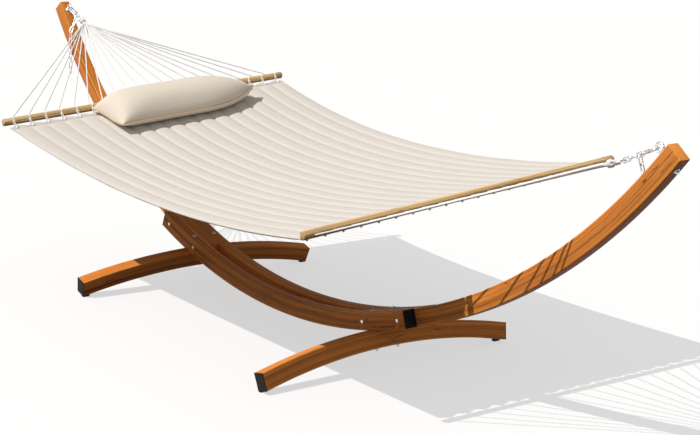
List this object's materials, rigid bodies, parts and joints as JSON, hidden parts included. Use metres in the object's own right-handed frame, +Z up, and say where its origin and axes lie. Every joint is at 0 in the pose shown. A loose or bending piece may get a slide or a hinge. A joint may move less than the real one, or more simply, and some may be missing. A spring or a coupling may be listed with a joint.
{
  "type": "hammock on stand",
  "caption": "Arched wooden stand carrying a quilted spreader-bar hammock on short chains, with a loose pillow at the head end.",
  "frame": {"origin": "centre of the footprint on the floor", "axes": "+X along the stand towards the foot end, +Y across it, +Z up; the pillow is at the -X end"},
  "size_m": [4.1024, 1.5344, 1.1151],
  "materials": {
    "stand_wood": "orange-brown oiled and varnished laminated softwood",
    "bar_wood": "pale clear-varnished hardwood",
    "end_paint": "black satin",
    "zinc_steel": "bright zinc plated",
    "cord_white": "white braided polyester cord",
    "quilt_cloth": "natural white woven polyester, quilted",
    "pillow_cloth": "natural white woven polyester"
  },
  "bodies": {
    "stand": {"rail_front": "stand_wood", "rail_back": "stand_wood", "arm_head": "stand_wood", "arm_foot": "stand_wood", "foot_beam_head": "stand_wood", "foot_beam_foot": "stand_wood", "foot_beam_head_cap_front": "end_paint", "rail_plate_head_front": "end_paint", "foot_bolt_head_front": "zinc_steel", "foot_nut_head_front": "zinc_steel", "foot_beam_head_cap_back": "end_paint", "rail_plate_head_back": "end_paint", "foot_bolt_head_back": "zinc_steel", "foot_nut_head_back": "zinc_steel", "side_bolt_head_inner": "zinc_steel", "side_nut_head_inner": "zinc_steel", "side_bolt_head_outer": "zinc_steel", "side_nut_head_outer": "zinc_steel", "eye_bolt_head": "zinc_steel", "eye_nut_head": "zinc_steel", "quick_link_head": "zinc_steel", "foot_beam_foot_cap_front": "end_paint", "rail_plate_foot_front": "end_paint", "foot_bolt_foot_front": "zinc_steel", "foot_nut_foot_front": "zinc_steel", "foot_beam_foot_cap_back": "end_paint", "rail_plate_foot_back": "end_paint", "foot_bolt_foot_back": "zinc_steel", "foot_nut_foot_back": "zinc_steel", "side_bolt_foot_inner": "zinc_steel", "side_nut_foot_inner": "zinc_steel", "side_bolt_foot_outer": "zinc_steel", "side_nut_foot_outer": "zinc_steel", "eye_bolt_foot": "zinc_steel", "eye_nut_foot": "zinc_steel", "quick_link_foot": "zinc_steel", "chain_head_1": "zinc_steel", "chain_foot_1": "zinc_steel", "chain_foot_2": "zinc_steel", "chain_foot_3": "zinc_steel"},
    "sling": {"harness_ring_head": "zinc_steel", "cords_head": "cord_white", "spreader_bar_head": "bar_wood", "hem_dowel_head": "bar_wood", "harness_ring_foot": "zinc_steel", "cords_foot": "cord_white", "spreader_bar_foot": "bar_wood", "hem_dowel_foot": "bar_wood", "bed": "quilt_cloth"},
    "pillow": {"pillow": "pillow_cloth"},
    "spare_chain_foot": {"chain_tail_foot": "zinc_steel"},
    "spare_chain_head": {"chain_tail_head": "zinc_steel"}
  },
  "joints": [
    {"name": "sling_swing", "type": "hinge", "parent": "stand", "child": "sling", "pos_m": [-1.8531, 0, 1.0561], "axis": [1, 0, -0.0088], "range_deg": [-20, 20]},
    {"name": "pillow_lift", "type": "slide", "parent": "sling", "child": "pillow", "axis": [0, -0.0849, 0.9964], "range_m": [0, 0.25]},
    {"name": "spare_chain_foot_swing", "type": "hinge", "parent": "stand", "child": "spare_chain_foot", "pos_m": [1.8703, 0, 1.0479], "axis": [0.8996, 0, 0.4368], "range_deg": [0, 60]},
    {"name": "spare_chain_head_swing", "type": "hinge", "parent": "stand", "child": "spare_chain_head", "pos_m": [-1.867, 0, 1.054], "axis": [-0.9311, 0, 0.3649], "range_deg": [0, 60]}
  ]
}
